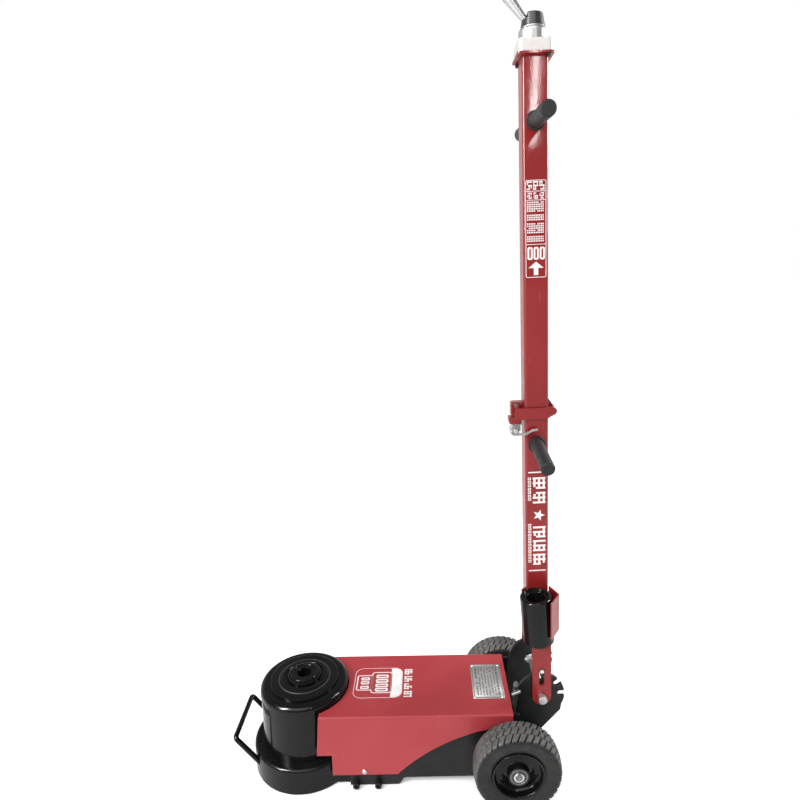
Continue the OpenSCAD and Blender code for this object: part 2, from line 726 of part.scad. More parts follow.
// Square tube from s0 to s1 along the handle
module square_tube(s0, s1) translate([0, 0, s0]) difference() {
  inner = tube_w - 2 * tube_wall;
  linear_extrude(s1 - s0) rounded_square([tube_w, tube_w], tube_corner);
  translate([0, 0, -1]) linear_extrude(s1 - s0 + 2)
    rounded_square([inner, inner], tube_corner - tube_wall);
}

module lower_tube() color("#a81e26") on_handle() difference() {
  square_tube(step_s, fold_s - gap / 2);
  grip_bore(0);
}

// Hole through the tube for the stub of pair i
module grip_bore(i) grip_place(i) rod_y(0, 0, stub_r, -50, 50);

// Puts the middle of a pair of grips at the origin: each stub is set a little off level
module grip_place(i) translate([0, 0, grip_s[i]]) rotate([grip_tilt[i], 0, 0]) children();

// Collar round the top of the lower tube: two cheeks with hinge ears, joined across the front
module lower_collar() color("#a81e26") on_handle() {
  half = tube_w / 2;
  top = fold_s - gap / 2;
  translate([-half - collar_t, -half - 1, collar_low]) cube([collar_t, tube_w + 2, top - collar_low]);
  both_sides() difference() {
    union() {
      upright(half, collar_t) polygon(concat(
        arc([5 - cheek_end, collar_low + 5], 5, 180, 270, 5),
        [[half - 4, collar_low], [half + 1, collar_low + 3], [half + 1, top]],
        arc([6 - cheek_end, top - 6], 6, 90, 180, 5)));
      upright(knuckle_y + gap, half + collar_t - knuckle_y - gap) {
        translate([fold_n, fold_pin_s]) circle(r = fold_r);
        polygon([[half, collar_low + 3], [fold_n + 4.5, fold_pin_s - 7], [fold_n + 1, fold_pin_s + 7.9],
          [half, fold_pin_s + 7.9]]);
      }
    }
    rod_y(fold_n, fold_pin_s, fold_pin_r, 0, half + collar_t + 1);
    // two small punch marks near the upper edge
    for (n = [-7, 16]) rod_y(n, top - 3, 1.2, half + collar_t - 1.2, half + collar_t + 1);
  }
  // lug that the latch hangs from
  upright(-12, 24) polygon(concat(
    [[-half - collar_t, lug_low], [-half - collar_t, lug_top], [-54, lug_top]],
    arc([-56, lug_top - 3], 3, 90, 180, 4),
    arc([-53, lug_low + 6], 6, 180, 270, 5)));
}

// Hinge pin, its ends peened flush with the ears
module fold_pin() color("#a81e26") on_handle()
  rod_y(fold_n, fold_pin_s, fold_pin_r, -tube_w / 2 - collar_t, tube_w / 2 + collar_t);

module upper_collar() color("#a81e26") on_handle() {
  half = tube_w / 2;
  // knuckle between the lower collar's ears, with its web up the tube's rear face
  upright(-knuckle_y, 2 * knuckle_y) difference() {
    union() {
      translate([fold_n, fold_pin_s]) circle(r = fold_r);
      polygon([[half, fold_s + 1], [fold_n - 8, fold_pin_s + 3], [fold_n + 7.5, fold_pin_s + 4],
        [half, fold_s + 19]]);
    }
    translate([fold_n, fold_pin_s]) circle(r = fold_pin_r + fit);
  }
  // open loop for the latch on the front face
  upright(-10, 20) difference() {
    polygon(concat(
      [[-half, fold_s + 2], [-half, loop_top]], arc([-48, loop_top - 6], 6, 90, 180, 5),
      arc([-51, lug_top + 6], 3, 180, 270, 4), [[-34, lug_top + 3], [-34, fold_s + 2]]));
    translate([keeper_n, loop_top - 13]) square([12, 9]);
  }
}

// Plated keeper in the loop's window, stepped back where the latch's nose goes
module latch_keeper() color("#c4c6c8") on_handle() {
  upright(-8, 16) translate([keeper_n, loop_top - 13]) square([7.5, 9]);
  upright(-2, 4) translate([keeper_n, loop_top - 13]) square([12, 9]);
}

// Two cheeks that carry the latch under the lug
module latch_bracket() color("#bfc1c3") on_handle() both_sides() upright(9, 2.5) difference() {
  union() {
    translate([latch_n, latch_s]) circle(r = 8);
    translate([latch_n - 5, latch_s]) square([16, lug_low - latch_s]);
  }
  translate([latch_n, latch_s]) circle(r = 2.5);
}

module latch_screw() color("#cfd0d2") on_handle() {
  rod_y(latch_n, latch_s, 2.5, -14, 14);
  translate([latch_n, -11.5, latch_s]) rotate([90, 0, 0]) difference() {
    cylinder(h = 3, r = 5);
    translate([0, 0, 3]) cube([1.2, 12, 3], center = true);
  }
}

// Thumb latch: a cam with a strap curled round it, which runs on to a flat tip across the tube
module latch_lever() color("#c9cbcd") on_handle() {
  strap = 2.6;
  cam = [latch_n - 1, latch_s - 1];
  elbow = [latch_n + 13, latch_s - latch_r];
  arm_y = -36;
  arm_rise = 10;
  upright(-8.6, 17.2) difference() {
    union() {
      translate(cam) circle(r = 6.5);
      // web that joins the cam to the strap
      translate([latch_n - 2, latch_s - latch_r + 1]) square([4, 10]);
      polygon(concat(
        arc([latch_n, latch_s], latch_r, 110, 270, 20),
        [elbow, elbow + [0, strap]],
        arc([latch_n, latch_s], latch_r - strap, 270, 110, 20)));
    }
    translate([latch_n, latch_s]) circle(r = 2.5 + fit);
  }
  // arm that rises towards the near side, and the blade at its end
  translate([elbow.x - 6, 0, elbow.y]) rotate([90, 0, 90]) linear_extrude(6)
    polygon([[-8, 0], [-8, strap], [arm_y, arm_rise + strap], [arm_y, arm_rise]]);
  blade = elbow + [0, arm_rise];
  upright(arm_y - 3, 6) polygon([blade - [6, 0], blade + [6, 0.5], blade + [19, 8], blade + [31, 10],
    blade + [31, 14], blade + [18, 12.5], blade + [4.5, 4.4], blade + [-6, 4.2]]);
}

module lower_grips() color("#1c1c1e") on_handle() side_grip_pair(0);
module upper_grips() color("#1c1c1e") on_handle() side_grip_pair(1);

// Steel stub through the tube with a rubber grip on each end, seated on the tube's faces
module side_grip_pair(i) {
  half = tube_w / 2;
  end = half + grip_len;
  grip_place(i) rod_y(0, 0, stub_r, 4 - end, end - 4);
  difference() {
    grip_place(i) both_sides() difference() {
      union() {
        rod_y(0, 0, grip_r, half - 3, end - 2);
        rod_y(0, 0, grip_r - 2, half - 3, end);
        rod_y(0, 0, grip_collar_r, half - 3, half + 5);
      }
      rod_y(0, 0, stub_r, 0, end - 4);
    }
    translate([-tube_w, -half, grip_s[i] - 50]) cube([2 * tube_w, tube_w, 100]);
  }
}

module upper_tube() color("#a81e26") on_handle() {
  difference() {
    square_tube(fold_s + gap / 2, tube_top);
    grip_bore(1);
    translate([0, tube_w / 2, inlet_s]) rotate([90, 0, 0]) cylinder(h = 20, r = 5, center = true);
  }
  // top plate under the valve
  difference() {
    translate([0, 0, tube_top]) linear_extrude(top_plate_t) rounded_square(top_plate, 6);
    translate([0, 0, tube_top - 1]) cylinder(h = 20, r = 12);
    valve_bolt_places() cylinder(h = 60, r = valve_bolt_r, center = true);
  }
}

module valve_bolt_places() for (i = [-1, 1])
  translate([i * valve_bolt_at.x, -i * valve_bolt_at.y, valve_s]) children();

module valve_bolts() color("#191919") on_handle() valve_bolt_places() {
  translate([0, 0, -top_plate_t]) cylinder(h = top_plate_t + 12, r = valve_bolt_r, $fn = 32);
  translate([0, 0, -top_plate_t - 6]) hex_head(9, 6);
}

// Machined square body with its polished bowl
module valve_block() color("#d9dadb") on_handle() difference() {
  union() {
    translate([0, 0, valve_s]) linear_extrude(block_t) rounded_square(block_size, 8);
    translate([0, 0, valve_s + block_t]) rotate_extrude($fn = 96) polygon(concat(
      [[0, 0], [bowl_r, 0]], arc([bowl_r - 8, 18], 8, 0, 60, 8), [[cap_r, bowl_h], [0, bowl_h]]));
  }
  valve_bolt_places() cylinder(h = 12, r = valve_bolt_r, $fn = 32);
  translate([0, 0, valve_s - 1]) cylinder(h = 8, r = 9);
}

// Turning cap of the valve, stepped down in front for the lever's root
module valve_cap() color("#1d1d1f") on_handle() difference() {
  translate([0, 0, cap_s]) rotate_extrude($fn = 96) polygon(concat(
    [[0, 0], [cap_r - 0.5, 0], [cap_r, 1]],
    arc([cap_r - 7.5, cap_t - 4], 4, 10, 90, 6), [[0, cap_t]]));
  translate([lever_root.x + 5 - 2 * cap_r, -cap_r, cap_s + lever_root.y - 3])
    cube([2 * cap_r, 2 * cap_r, cap_t]);
  lever_place() {
    sphere(r = lever_root_r);
    cylinder(h = 60, r = lever_root_r);
  }
}

// Puts the middle of the lever's rounded root at the origin and its end along +Z
module lever_place() translate([lever_root.x, 0, cap_s + lever_root.y])
  rotate([0, lever_rise - 90, 0]) children();

// Tapered lever, rounded at both ends
module valve_lever() color("#c9cbcd") on_handle() lever_place() rotate_extrude($fn = 48) polygon(concat(
  arc([0, 0], lever_root_r, -90, 0, 6), [[7.2, 10], [9.2, 32], [11, 54], [12, 70]],
  arc([0, lever_len - 12], 12, 0, 90, 8)));

// Brass nipple that takes the air supply, on the far face
module air_inlet() color("#b08d3c") on_handle() translate([0, tube_w / 2, inlet_s]) rotate([-90, 0, 0]) {
  translate([0, 0, -tube_wall]) cylinder(h = tube_wall + 1, r = 5);
  hex_head(17, 7);
  rotate_extrude() polygon([[0, 7], [5.5, 7], [5.5, 14], [6.8, 16], [6.8, 19], [5, 21], [5, 26], [6, 27.5],
    [6, 30], [5, 31], [0, 31]]);
}

// Air lines from the valve down inside the tube
module valve_hose() color("#1c1c1c") on_handle() {
  beside_stub = stub_r + hose_r + 2;
  for (y = [-9, 9]) translate([beside_stub, y, fold_s + 40])
    cylinder(h = tube_top - fold_s - 41, r = hose_r, $fn = 24);
}

foot_casting();
pump_block();
main_cylinder();
oil_tank();
head_nut();
ram_seals();
outer_ram();
outer_ram_packing();
inner_ram();
inner_ram_packing();
ram_saddle();
front_bail();
oil_plugs();
hood();
hood_screws();
data_plate();
data_plate_rivets();
frame_plates();
frame_bolts();
floor_pan();
quadrants();
axle();
axle_circlips();
air_cylinder();
air_cylinder_caps();
tie_rods();
air_piston();
piston_spring();
air_hose();
hose_clamp();
tyre_near();
tyre_far();
rim_near();
rim_far();
bearings_near();
bearings_far();
yoke();
pivot_pin();
pin_circlips();
lock_bar();
release_lug();
adapter_holder();
extension_adapter();
lower_tube();
lower_collar();
fold_pin();
latch_bracket();
latch_screw();
latch_lever();
lower_grips();
upper_tube();
upper_collar();
latch_keeper();
upper_grips();
valve_block();
valve_bolts();
valve_cap();
valve_lever();
air_inlet();
valve_hose();
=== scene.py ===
import json
import math
import random

import bmesh
import bpy
from mathutils import Matrix, Vector


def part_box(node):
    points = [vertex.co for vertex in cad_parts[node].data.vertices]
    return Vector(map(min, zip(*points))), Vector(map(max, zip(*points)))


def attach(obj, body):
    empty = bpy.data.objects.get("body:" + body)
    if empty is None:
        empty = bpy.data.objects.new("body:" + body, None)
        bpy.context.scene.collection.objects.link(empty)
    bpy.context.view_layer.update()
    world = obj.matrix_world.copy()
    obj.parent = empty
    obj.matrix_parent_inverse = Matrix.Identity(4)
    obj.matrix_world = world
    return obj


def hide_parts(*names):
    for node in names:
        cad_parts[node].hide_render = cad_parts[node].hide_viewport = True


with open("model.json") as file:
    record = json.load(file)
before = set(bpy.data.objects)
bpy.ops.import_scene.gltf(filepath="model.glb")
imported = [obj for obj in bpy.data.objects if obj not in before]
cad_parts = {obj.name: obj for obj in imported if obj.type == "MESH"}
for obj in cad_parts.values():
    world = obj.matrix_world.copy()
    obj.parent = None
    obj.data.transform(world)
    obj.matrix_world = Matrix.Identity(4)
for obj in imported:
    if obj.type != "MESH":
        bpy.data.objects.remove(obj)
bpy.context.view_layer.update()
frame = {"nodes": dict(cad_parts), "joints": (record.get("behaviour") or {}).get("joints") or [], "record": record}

MM = 0.001
JOINTS = {j["name"]: j for j in frame["joints"]}
PIVOT = Vector(JOINTS["handle_tilt"]["pos_m"])
ALONG = Vector(JOINTS["lock_slide"]["axis"]).normalized()     # up the handle
ACROSS = Vector((0, 1, 0)).cross(ALONG).normalized()          # from the front of the handle to its back
HOOD_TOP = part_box("hood")[1].z
TUBE_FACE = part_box("lower_tube")[0].y
WHEEL_X, WHEEL_Z = JOINTS["wheel_near_spin"]["pos_m"][0], JOINTS["wheel_near_spin"]["pos_m"][2]
BOWL_HEIGHT = 0.0270                                          # the polished bowl on the valve block
VALVE_SEAM = max(v.co.dot(ALONG) for v in frame["nodes"]["valve_block"].data.vertices) - BOWL_HEIGHT

CAMERA_PLACE = (0.3023, -1.2609, 1.2111)
CAMERA_TURN = (1.02, 12.94, -0.25)      # degrees: to the right of +Y, down, and round the view's axis
CAMERA_LENS = 26.355                    # millimetres, on a 36 mm sensor
CAMERA_SHIFT = (-0.0439, -0.0019)
FLOOR_HALF = 40


# ---------------------------------------------------------------- camera, light and floor

def make_camera():
    """The photograph's view."""
    yaw, pitch, roll = (math.radians(turn) for turn in CAMERA_TURN)
    forward = Vector((math.sin(yaw) * math.cos(pitch), math.cos(yaw) * math.cos(pitch), -math.sin(pitch)))
    right = Vector((math.cos(yaw), -math.sin(yaw), 0))
    up = right.cross(forward)
    side = right * math.cos(roll) + up * math.sin(roll)
    top = up * math.cos(roll) - right * math.sin(roll)
    data = bpy.data.cameras.new("camera")
    data.sensor_width = 36
    data.lens = CAMERA_LENS
    data.shift_x, data.shift_y = CAMERA_SHIFT
    data.clip_end = 100
    camera = bpy.data.objects.new("camera", data)
    camera.matrix_world = Matrix((
        (side.x, top.x, -forward.x, CAMERA_PLACE[0]),
        (side.y, top.y, -forward.y, CAMERA_PLACE[1]),
        (side.z, top.z, -forward.z, CAMERA_PLACE[2]),
        (0, 0, 0, 1)))
    bpy.context.scene.collection.objects.link(camera)
    bpy.context.scene.camera = camera


def area_light(name, place, target, size, power, only_glints=False):
    """A rectangular light; one made only for glints shows in reflections and lights nothing else."""
    data = bpy.data.lights.new(name, "AREA")
    data.shape = "RECTANGLE"
    data.size, data.size_y = size
    data.energy = power
    light = bpy.data.objects.new(name, data)
    light.location = place
    light.rotation_euler = (Vector(target) - Vector(place)).to_track_quat("-Z", "Y").to_euler()
    light.visible_diffuse = not only_glints
    bpy.context.scene.collection.objects.link(light)


def make_lights():
    """Two soft keys and a broad sun, with cards for the glints on the enamel and on the upper tube."""
    area_light("left", (-2.1, -1.6, 2.3), (0.1, 0, 0.3), (0.8, 0.8), 60)
    area_light("right", (2.8, 0.4, 2.3), (0.4, 0, 0.6), (0.8, 0.8), 45)
    area_light("left card", (-1.9, -1.75, 2.2), (0, 0, 0.2), (0.5, 2.2), 300, True)
    area_light("right card", (2.7, 0.35, 2.0), (0, 0, 0.2), (0.45, 1.3), 95, True)
    area_light("strip", (0.846, -1.9, 2.12), (0.53, 0, 1.5), (0.030, 0.66), 4.4, True)
    sun = bpy.data.lights.new("sun", "SUN")
    sun.energy = 2.0
    sun.angle = math.radians(50)
    lamp = bpy.data.objects.new("sun", sun)
    lamp.rotation_euler = Vector((0.25, 0.75, -1.0)).to_track_quat("-Z", "Y").to_euler()
    bpy.context.scene.collection.objects.link(lamp)
    make_world()


def make_world():
    """A white backdrop behind the object, with a dimmer room in front and overhead."""
    world = bpy.data.worlds.new("studio")
    bpy.context.scene.world = world
    world.use_nodes = True
    nodes, links = world.node_tree.nodes, world.node_tree.links
    place = nodes.new("ShaderNodeTexCoord")
    split = nodes.new("ShaderNodeSeparateXYZ")
    links.new(place.outputs["Generated"], split.inputs[0])

    def fade(axis, low, high):
        step = nodes.new("ShaderNodeMapRange")
        step.inputs["From Min"].default_value = low
        step.inputs["From Max"].default_value = high
        links.new(split.outputs[axis], step.inputs["Value"])
        return step.outputs[0]

    backdrop = nodes.new("ShaderNodeMath")
    backdrop.operation = "MULTIPLY"
    links.new(fade("Y", 0.15, 0.5), backdrop.inputs[0])
    links.new(fade("Z", 0.56, 0.42), backdrop.inputs[1])
    tone = nodes.new("ShaderNodeMixRGB")
    tone.inputs[1].default_value = (0.28, 0.28, 0.285, 1)
    tone.inputs[2].default_value = (1.0, 1.0, 1.0, 1)
    links.new(backdrop.outputs[0], tone.inputs[0])
    links.new(tone.outputs[0], nodes["Background"].inputs["Color"])


def make_floor():
    """A pale floor that glows a little, so that it runs into the backdrop without a line."""
    mesh = bpy.data.meshes.new("floor")
    half = FLOOR_HALF
    corners = [(-half, -half, 0), (half, -half, 0), (half, half, 0), (-half, half, 0)]
    mesh.from_pydata(corners, [], [(0, 1, 2, 3)])
    floor = bpy.data.objects.new("floor", mesh)
    bpy.context.scene.collection.objects.link(floor)
    recipe = Recipe("floor_paint")
    recipe.set("Roughness", 0.6)
    recipe.link("Base Color", recipe.mix(recipe.noise(2.0, 3), (0.92, 0.92, 0.92), (0.95, 0.95, 0.945)))
    recipe.set("Specular IOR Level", 0.1)
    recipe.set("Emission Color", (1, 1, 1, 1))
    recipe.set("Emission Strength", 0.24)
    mesh.materials.append(recipe.material)


# ---------------------------------------------------------------- materials

class Recipe:
    """A Principled material built from small procedural steps, in the piece's own coordinates."""

    def __init__(self, name):
        self.material = bpy.data.materials.new(name)
        self.material.use_nodes = True
        self.nodes = self.material.node_tree.nodes
        self.links = self.material.node_tree.links
        self.shader = self.nodes["Principled BSDF"]
        self.place = self.nodes.new("ShaderNodeTexCoord").outputs["Object"]

    def set(self, socket, value):
        self.shader.inputs[socket].default_value = value

    def link(self, socket, output):
        self.links.new(output, self.shader.inputs[socket])

    def stretched(self, scale):
        """The piece's coordinates, scaled differently along X, Y and Z."""
        step = self.nodes.new("ShaderNodeMapping")
        step.inputs["Scale"].default_value = scale
        self.links.new(self.place, step.inputs["Vector"])
        return step.outputs[0]

    def noise(self, scale, detail=4, roughness=0.55, place=None):
        step = self.nodes.new("ShaderNodeTexNoise")
        step.inputs["Scale"].default_value = scale
        step.inputs["Detail"].default_value = detail
        step.inputs["Roughness"].default_value = roughness
        self.links.new(place or self.place, step.inputs["Vector"])
        return step.outputs["Fac"]

    def cells(self, scale):
        step = self.nodes.new("ShaderNodeTexVoronoi")
        step.inputs["Scale"].default_value = scale
        self.links.new(self.place, step.inputs["Vector"])
        return step.outputs["Distance"]

    def remap(self, value, low, high, to_low=0.0, to_high=1.0):
        step = self.nodes.new("ShaderNodeMapRange")
        for name, number in zip(("From Min", "From Max", "To Min", "To Max"), (low, high, to_low, to_high)):
            step.inputs[name].default_value = number
        self.links.new(value, step.inputs["Value"])
        return step.outputs[0]

    def math(self, operation, a, b):
        step = self.nodes.new("ShaderNodeMath")
        step.operation = operation
        for socket, value in zip(step.inputs, (a, b)):
            if isinstance(value, (int, float)):
                socket.default_value = value
            else:
                self.links.new(value, socket)
        return step.outputs[0]

    def mix(self, factor, first, second):
        step = self.nodes.new("ShaderNodeMixRGB")
        self.links.new(factor, step.inputs[0])
        for socket, value in ((step.inputs[1], first), (step.inputs[2], second)):
            if isinstance(value, tuple):
                socket.default_value = (*value, 1)
            else:
                self.links.new(value, socket)
        return step.outputs[0]

    def edges(self, radius):
        """1 along sharp edges, fading to 0 away from them."""
        bevel = self.nodes.new("ShaderNodeBevel")
        bevel.samples = 4
        bevel.inputs["Radius"].default_value = radius
        geometry = self.nodes.new("ShaderNodeNewGeometry")
        dot = self.nodes.new("ShaderNodeVectorMath")
        dot.operation = "DOT_PRODUCT"
        self.links.new(bevel.outputs[0], dot.inputs[0])
        self.links.new(geometry.outputs["Normal"], dot.inputs[1])
        return self.remap(dot.outputs["Value"], 0.99, 0.88)

    def worn(self, radius, scale, low, high, amount):
        """Patches along sharp edges where the paint is rubbed through."""
        patches = self.remap(self.noise(scale, 5), low, high, 0, amount)
        return self.math("MULTIPLY", self.edges(radius), patches)

    def settled(self, low, specks):
        """The specks that lie on surfaces facing up in the piece's own coordinates."""
        place = self.nodes.new("ShaderNodeTexCoord")
        split = self.nodes.new("ShaderNodeSeparateXYZ")
        self.links.new(place.outputs["Normal"], split.inputs[0])
        return self.math("MULTIPLY", self.remap(split.outputs["Z"], low, 1.0), specks)

    def wheel_radius(self):
        """Distance from the wheels' axis."""
        split = self.nodes.new("ShaderNodeSeparateXYZ")
        self.links.new(self.place, split.inputs[0])
        x = self.math("SUBTRACT", split.outputs["X"], WHEEL_X)
        z = self.math("SUBTRACT", split.outputs["Z"], WHEEL_Z)
        square = self.math("ADD", self.math("MULTIPLY", x, x), self.math("MULTIPLY", z, z))
        return self.math("SQRT", square, 0)

    def bump(self, *layers):
        """Stacks (height, distance in metres, strength) layers onto the paint's and the coat's normal."""
        normal = None
        for height, distance, strength in layers:
            step = self.nodes.new("ShaderNodeBump")
            step.inputs["Distance"].default_value = distance
            step.inputs["Strength"].default_value = strength
            self.links.new(height, step.inputs["Height"])
            if normal:
                self.links.new(normal, step.inputs["Normal"])
            normal = step.outputs[0]
        self.link("Normal", normal)
        self.link("Coat Normal", normal)


def red_paint(name, light, deep, gloss):
    """Thick sprayed enamel with orange peel, faint scuffs and rubbed edges."""
    recipe = Recipe(name)
    drift = recipe.remap(recipe.noise(5, 3), 0.35, 0.7)
    body = recipe.mix(drift, deep, light)
    streaks = recipe.noise(90, 6, 0.7, recipe.stretched((1, 1, 0.15)))
    scuff = recipe.remap(streaks, 0.62, 0.80, 0, 0.30)
    body = recipe.mix(scuff, body, (0.56, 0.12, 0.12))
    speck = recipe.remap(recipe.noise(420, 2), 0.70, 0.78, 0, 0.7)
    body = recipe.mix(speck, body, (0.16, 0.012, 0.014))
    body = recipe.mix(recipe.worn(0.0012, 70, 0.50, 0.66, 0.5), body, (0.13, 0.055, 0.045))
    recipe.link("Base Color", body)
    recipe.link("Roughness", recipe.remap(recipe.noise(22, 5), 0.3, 0.75, 0.34, 0.50))
    recipe.set("Specular IOR Level", 0.15)
    recipe.set("Coat Weight", gloss)
    recipe.link("Coat Roughness", recipe.remap(recipe.noise(60, 4), 0.35, 0.7, 0.03, 0.08))
    recipe.bump((recipe.noise(260, 2, 0.5), 0.00005, 0.8))
    return recipe.material


def black_enamel():
    """Glossy black enamel over turned steel, with a fine peel and dust in small specks."""
    recipe = Recipe("black_enamel")
    drift = recipe.remap(recipe.noise(9, 4), 0.35, 0.7)
    body = recipe.mix(drift, (0.0035, 0.0035, 0.004), (0.007, 0.007, 0.007))
    dust = recipe.settled(0.5, recipe.remap(recipe.noise(240, 6, 0.7), 0.66, 0.80, 0, 0.12))
    body = recipe.mix(dust, body, (0.20, 0.19, 0.18))
    body = recipe.mix(recipe.worn(0.0008, 80, 0.54, 0.68, 0.4), body, (0.20, 0.19, 0.18))
    recipe.link("Base Color", body)
    recipe.link("Roughness", recipe.remap(recipe.noise(30, 5), 0.3, 0.75, 0.16, 0.30))
    recipe.set("Specular IOR Level", 0.06)
    recipe.set("Coat Weight", 0.24)
    recipe.set("Coat Roughness", 0.03)
    recipe.bump((recipe.noise(420, 2), 0.00005, 0.4))
    return recipe.material


def black_chassis():
    """Thinner semi-gloss black on plate steel, dusty and scratched."""
    recipe = Recipe("black_chassis")
    drift = recipe.remap(recipe.noise(12, 5), 0.35, 0.7)
    body = recipe.mix(drift, (0.005, 0.005, 0.0055), (0.011, 0.0105, 0.0105))
    dust = recipe.remap(recipe.noise(60, 7, 0.7), 0.56, 0.82, 0, 0.10)
    body = recipe.mix(dust, body, (0.17, 0.155, 0.14))
    streaks = recipe.noise(130, 3, 0.6, recipe.stretched((1, 6, 0.3)))
    body = recipe.mix(recipe.remap(streaks, 0.72, 0.80, 0, 0.4), body, (0.14, 0.14, 0.14))
    body = recipe.mix(recipe.worn(0.0012, 60, 0.48, 0.64, 0.6), body, (0.22, 0.21, 0.20))
    recipe.link("Base Color", body)
    recipe.link("Roughness", recipe.remap(recipe.noise(40, 5), 0.3, 0.75, 0.32, 0.52))
    recipe.set("Specular IOR Level", 0.2)
    recipe.bump((recipe.noise(25, 3), 0.0006, 0.2), (recipe.noise(380, 3), 0.00015, 0.4))
    return recipe.material


def cast_enamel():
    """Black enamel over a casting: the grain of the sand shows through."""
    recipe = Recipe("cast_enamel")
    drift = recipe.remap(recipe.noise(10, 4), 0.35, 0.7)
    body = recipe.mix(drift, (0.0035, 0.0035, 0.004), (0.008, 0.0078, 0.0078))
    dust = recipe.settled(0.4, recipe.remap(recipe.noise(150, 7, 0.7), 0.56, 0.78, 0, 0.2))
    body = recipe.mix(dust, body, (0.19, 0.175, 0.16))
    body = recipe.mix(recipe.worn(0.0015, 70, 0.52, 0.66, 0.4), body, (0.20, 0.19, 0.18))
    recipe.link("Base Color", body)
    recipe.link("Roughness", recipe.remap(recipe.noise(35, 5), 0.3, 0.75, 0.20, 0.36))
    recipe.set("Specular IOR Level", 0.06)
    recipe.set("Coat Weight", 0.2)
    recipe.set("Coat Roughness", 0.09)
    recipe.bump((recipe.noise(60, 4, 0.6), 0.0002, 0.3), (recipe.noise(300, 4, 0.65), 0.00014, 0.5))
    return recipe.material


def bare_metal(name, colour, dark, rough, grain=(1, 1, 1), depth=0.25, tarnish=0.35, metallic=1.0):
    """Bare or plated metal: a directional grain, uneven polish and a little tarnish."""
    recipe = Recipe(name)
    stain = recipe.remap(recipe.noise(45, 6, 0.65), 0.48, 0.75, 0, tarnish)
    recipe.link("Base Color", recipe.mix(stain, colour, dark))
    recipe.set("Metallic", metallic)
    lines = recipe.noise(500, 3, 0.6, recipe.stretched(grain))
    polish = recipe.math("ADD", lines, recipe.noise(25, 3))
    recipe.link("Roughness", recipe.remap(polish, 0.7, 1.4, rough * 0.7, rough * 1.4))
    recipe.bump((lines, 0.00006, depth))
    return recipe.material


def black_rubber():
    """Moulded rubber, slightly dusty, with a fine grain."""
    recipe = Recipe("rubber")
    bloom = recipe.remap(recipe.noise(55, 6, 0.65), 0.42, 0.75, 0, 0.5)
    body = recipe.mix(bloom, (0.009, 0.009, 0.009), (0.026, 0.024, 0.0235))
    lint = recipe.remap(recipe.noise(340, 3), 0.68, 0.78, 0, 0.5)
    recipe.link("Base Color", recipe.mix(lint, body, (0.14, 0.13, 0.125)))
    recipe.link("Roughness", recipe.remap(recipe.noise(70, 4), 0.3, 0.7, 0.46, 0.68))
    recipe.set("Specular IOR Level", 0.3)
    recipe.bump((recipe.noise(600, 3, 0.7), 0.0005, 0.5))
    return recipe.material


def tyre_rubber():
    """Road-dusty tyre: pale on the tread's faces, dark in the grooves and mottled on the walls."""
    recipe = Recipe("tyre_rubber")
    tread = recipe.remap(recipe.wheel_radius(), 0.0925, 0.0965)
    patch = recipe.remap(recipe.noise(18, 4), 0.36, 0.66, 0.55, 1.0)
    grit = recipe.remap(recipe.noise(260, 6, 0.7), 0.3, 0.7, 0.65, 1.0)
    dust = recipe.math("MULTIPLY", tread, recipe.math("MULTIPLY", patch, grit))
    mottle = recipe.remap(recipe.noise(28, 5, 0.6), 0.35, 0.7)
    wall = recipe.mix(mottle, (0.007, 0.0067, 0.0064), (0.016, 0.015, 0.014))
    recipe.link("Base Color", recipe.mix(dust, wall, (0.135, 0.129, 0.121)))
    recipe.link("Roughness", recipe.remap(recipe.noise(60, 5), 0.3, 0.7, 0.42, 0.7))
    recipe.set("Specular IOR Level", 0.25)
    recipe.bump((recipe.noise(40, 4), 0.0005, 0.3), (recipe.noise(480, 4, 0.7), 0.0003, 0.5))
    return recipe.material


def bearing_metal():
    """Ground steel rings with a black rubber seal between them."""
    recipe = Recipe("bearing_metal")
    radius = recipe.wheel_radius()
    outside_inner_ring = recipe.remap(radius, 0.0120, 0.0125)
    inside_outer_ring = recipe.remap(radius, 0.0169, 0.0164)
    seal = recipe.math("MULTIPLY", outside_inner_ring, inside_outer_ring)
    stain = recipe.remap(recipe.noise(120, 5), 0.45, 0.75, 0, 0.4)
    metal = recipe.mix(stain, (0.15, 0.145, 0.14), (0.08, 0.077, 0.075))
    recipe.link("Base Color", recipe.mix(seal, metal, (0.008, 0.008, 0.008)))
    recipe.link("Metallic", recipe.math("SUBTRACT", 1.0, seal))
    recipe.link("Roughness", recipe.remap(recipe.noise(300, 3), 0.3, 0.7, 0.25, 0.42))
    recipe.bump((recipe.noise(500, 3), 0.0001, 0.3))
    return recipe.material


def valve_metal(block_top):
    """Pale machined block, with a polished bowl above it."""
    recipe = Recipe("valve_metal")
    project = recipe.nodes.new("ShaderNodeVectorMath")
    project.operation = "DOT_PRODUCT"
    project.inputs[1].default_value = ALONG
    recipe.links.new(recipe.place, project.inputs[0])
    polished = recipe.remap(project.outputs["Value"], block_top - 0.0002, block_top + 0.0004)
    stain = recipe.remap(recipe.noise(70, 5), 0.42, 0.75, 0, 0.5)
    pale = recipe.mix(stain, (0.60, 0.56, 0.54), (0.53, 0.50, 0.48))
    recipe.link("Base Color", recipe.mix(polished, pale, (0.38, 0.375, 0.37)))
    recipe.link("Metallic", recipe.remap(polished, 0, 1, 0.25, 1.0))
    cuts = recipe.noise(380, 3, 0.6, recipe.stretched((0.05, 0.05, 1)))
    sawn = recipe.remap(cuts, 0.3, 0.7, 0.38, 0.55)
    buffed = recipe.remap(recipe.noise(60, 4), 0.3, 0.7, 0.34, 0.44)
    recipe.link("Roughness", recipe.mix(polished, sawn, buffed))
    recipe.bump((cuts, 0.00002, 0.4))
    return recipe.material


